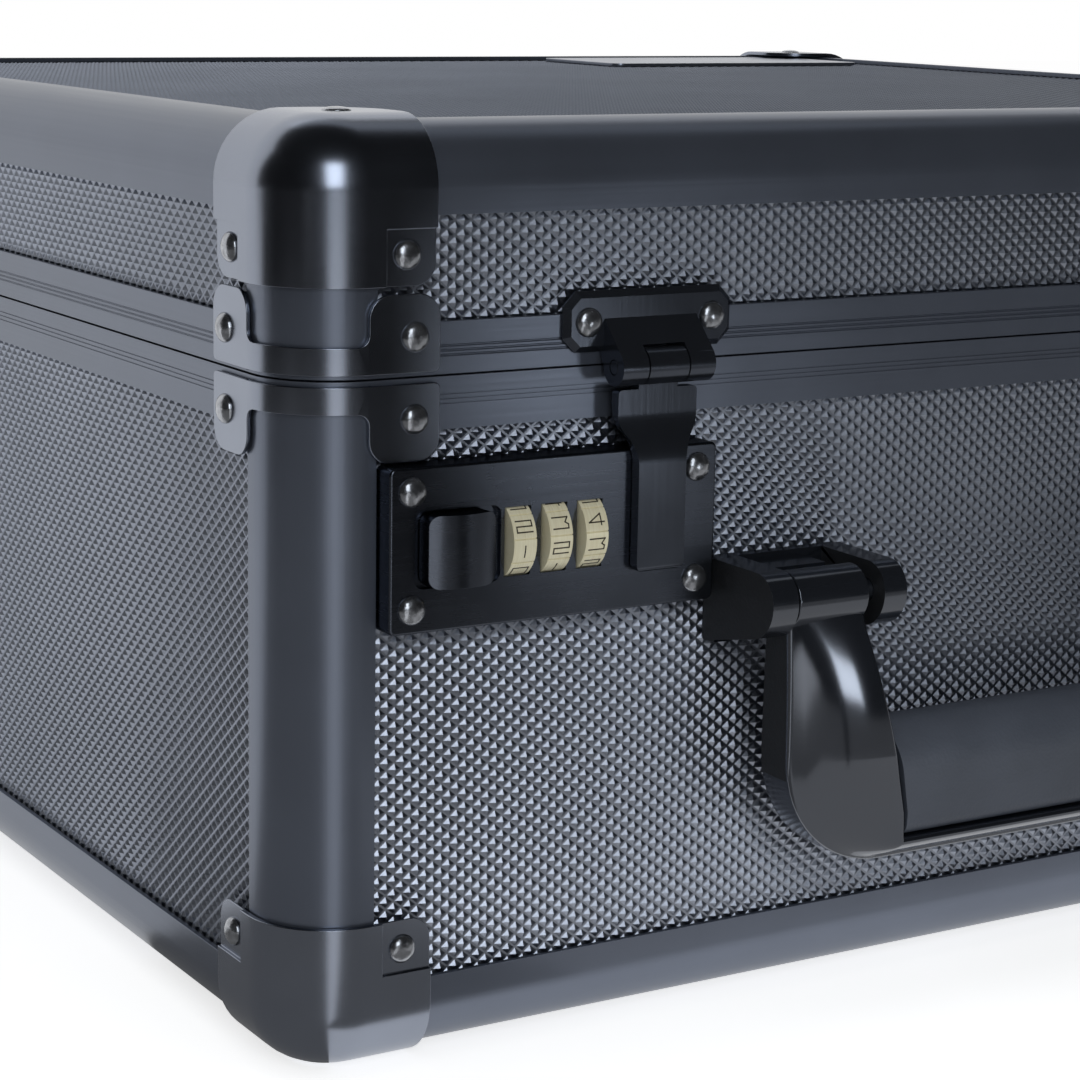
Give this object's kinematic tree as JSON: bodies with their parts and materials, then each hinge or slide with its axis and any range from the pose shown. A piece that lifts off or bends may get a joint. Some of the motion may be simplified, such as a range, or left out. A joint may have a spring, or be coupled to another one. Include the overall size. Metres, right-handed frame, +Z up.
{
  "type": "trading card case",
  "caption": "Rigid foam-lined carrying case for rows of upright trading cards, with an aluminium frame, textured panels, a hinged lid, combination latches and a folding handle.",
  "frame": {"origin": "on the standing plane, under the middle of everything the case has, with the folded handle and the rear hinges counted", "axes": "+X along the case's width towards its right side as seen from the front, +Y towards the rear hinges, +Z up"},
  "size_m": [0.311, 0.3118, 0.1663],
  "materials": {
    "black_anodised_aluminium": "satin black anodised extrusion",
    "diamond_textured_panel": "dark grey sheet pressed in small pyramids",
    "panel_board": "dark backing board",
    "black_corner_steel": "satin black coated pressed steel",
    "black_lock_metal": "satin to gloss black coated metal",
    "gloss_black_plastic": "polished black moulding",
    "soft_touch_grip": "fine textured soft grip",
    "dial_brass": "brushed brass",
    "black_foam": "closed-cell foam",
    "bare_name_plate": "plain brushed plate with no print"
  },
  "bodies": {
    "base": {"base_edge_frame": "black_anodised_aluminium", "base_corner_post_front_left": "black_anodised_aluminium", "base_corner_post_front_right": "black_anodised_aluminium", "base_corner_post_back_left": "black_anodised_aluminium", "base_corner_post_back_right": "black_anodised_aluminium", "base_panel_front": "diamond_textured_panel", "base_panel_back": "diamond_textured_panel", "base_panel_left": "diamond_textured_panel", "base_panel_right": "diamond_textured_panel", "base_panel_bottom": "panel_board", "base_rim": "black_anodised_aluminium", "base_ball_corner_front_left": "black_corner_steel", "base_ball_corner_front_right": "black_corner_steel", "base_ball_corner_back_left": "black_corner_steel", "base_ball_corner_back_right": "black_corner_steel", "base_rim_bracket_front_left": "black_corner_steel", "base_rim_bracket_front_right": "black_corner_steel", "base_rim_bracket_back_left": "black_corner_steel", "base_rim_bracket_back_right": "black_corner_steel", "card_tray": "black_foam", "handle_bracket_left": "gloss_black_plastic", "handle_bracket_right": "gloss_black_plastic", "lock_plate_left": "black_lock_metal", "lock_plate_right": "black_lock_metal", "hinge_base_leaf_left": "black_lock_metal", "hinge_base_leaf_right": "black_lock_metal", "hinge_pin_left": "black_lock_metal", "hinge_pin_right": "black_lock_metal"},
    "lid": {"lid_edge_frame": "black_anodised_aluminium", "lid_panel_top": "diamond_textured_panel", "lid_wall_band": "diamond_textured_panel", "lid_rim": "black_anodised_aluminium", "lid_ball_corner_front_left": "black_corner_steel", "lid_ball_corner_front_right": "black_corner_steel", "lid_ball_corner_back_left": "black_corner_steel", "lid_ball_corner_back_right": "black_corner_steel", "lid_rim_bracket_front_left": "black_corner_steel", "lid_rim_bracket_front_right": "black_corner_steel", "lid_rim_bracket_back_left": "black_corner_steel", "lid_rim_bracket_back_right": "black_corner_steel", "lid_foam": "black_foam", "name_plate": "bare_name_plate", "strike_left": "black_lock_metal", "strike_right": "black_lock_metal", "strike_pin_left": "black_lock_metal", "strike_pin_right": "black_lock_metal", "hinge_lid_leaf_left": "black_lock_metal", "hinge_lid_leaf_right": "black_lock_metal"},
    "handle": {"handle_frame": "gloss_black_plastic", "handle_grip": "soft_touch_grip"},
    "hasp_left": {"hasp_left": "black_lock_metal"},
    "hasp_right": {"hasp_right": "black_lock_metal"},
    "button_left": {"lock_button_left": "black_lock_metal"},
    "button_right": {"lock_button_right": "black_lock_metal"},
    "dial_left_1": {"dial_left_1": "dial_brass"},
    "dial_left_2": {"dial_left_2": "dial_brass"},
    "dial_left_3": {"dial_left_3": "dial_brass"},
    "dial_right_1": {"dial_right_1": "dial_brass"},
    "dial_right_2": {"dial_right_2": "dial_brass"},
    "dial_right_3": {"dial_right_3": "dial_brass"}
  },
  "joints": [
    {"name": "lid_hinge", "type": "hinge", "parent": "base", "child": "lid", "pos_m": [0, 0.1529, 0.1222], "axis": [-1, 0, 0], "range_deg": [0, 95]},
    {"name": "handle_swing", "type": "hinge", "parent": "base", "child": "handle", "pos_m": [0, -0.1465, 0.0806], "axis": [-1, 0, 0], "range_deg": [0, 95]},
    {"name": "hasp_swing_left", "type": "hinge", "parent": "lid", "child": "hasp_left", "pos_m": [-0.0851, -0.1362, 0.12235], "axis": [-1, 0, 0], "range_deg": [0, 140]},
    {"name": "button_slide_left", "type": "slide", "parent": "base", "child": "button_left", "axis": [1, 0, 0], "range_m": [0, 0.002], "stiffness_N_per_m": 400},
    {"name": "dial_turn_left_1", "type": "hinge", "parent": "base", "child": "dial_left_1", "pos_m": [-0.112, -0.1313, 0.09355], "axis": [1, 0, 0], "continuous": true},
    {"name": "dial_turn_left_2", "type": "hinge", "parent": "base", "child": "dial_left_2", "pos_m": [-0.1048, -0.1313, 0.09355], "axis": [1, 0, 0], "continuous": true},
    {"name": "dial_turn_left_3", "type": "hinge", "parent": "base", "child": "dial_left_3", "pos_m": [-0.0976, -0.1313, 0.09355], "axis": [1, 0, 0], "continuous": true},
    {"name": "hasp_swing_right", "type": "hinge", "parent": "lid", "child": "hasp_right", "pos_m": [0.0851, -0.1362, 0.12235], "axis": [-1, 0, 0], "range_deg": [0, 140]},
    {"name": "button_slide_right", "type": "slide", "parent": "base", "child": "button_right", "axis": [-1, 0, 0], "range_m": [0, 0.002], "stiffness_N_per_m": 400},
    {"name": "dial_turn_right_1", "type": "hinge", "parent": "base", "child": "dial_right_1", "pos_m": [0.112, -0.1313, 0.09355], "axis": [1, 0, 0], "continuous": true},
    {"name": "dial_turn_right_2", "type": "hinge", "parent": "base", "child": "dial_right_2", "pos_m": [0.1048, -0.1313, 0.09355], "axis": [1, 0, 0], "continuous": true},
    {"name": "dial_turn_right_3", "type": "hinge", "parent": "base", "child": "dial_right_3", "pos_m": [0.0976, -0.1313, 0.09355], "axis": [1, 0, 0], "continuous": true}
  ]
}
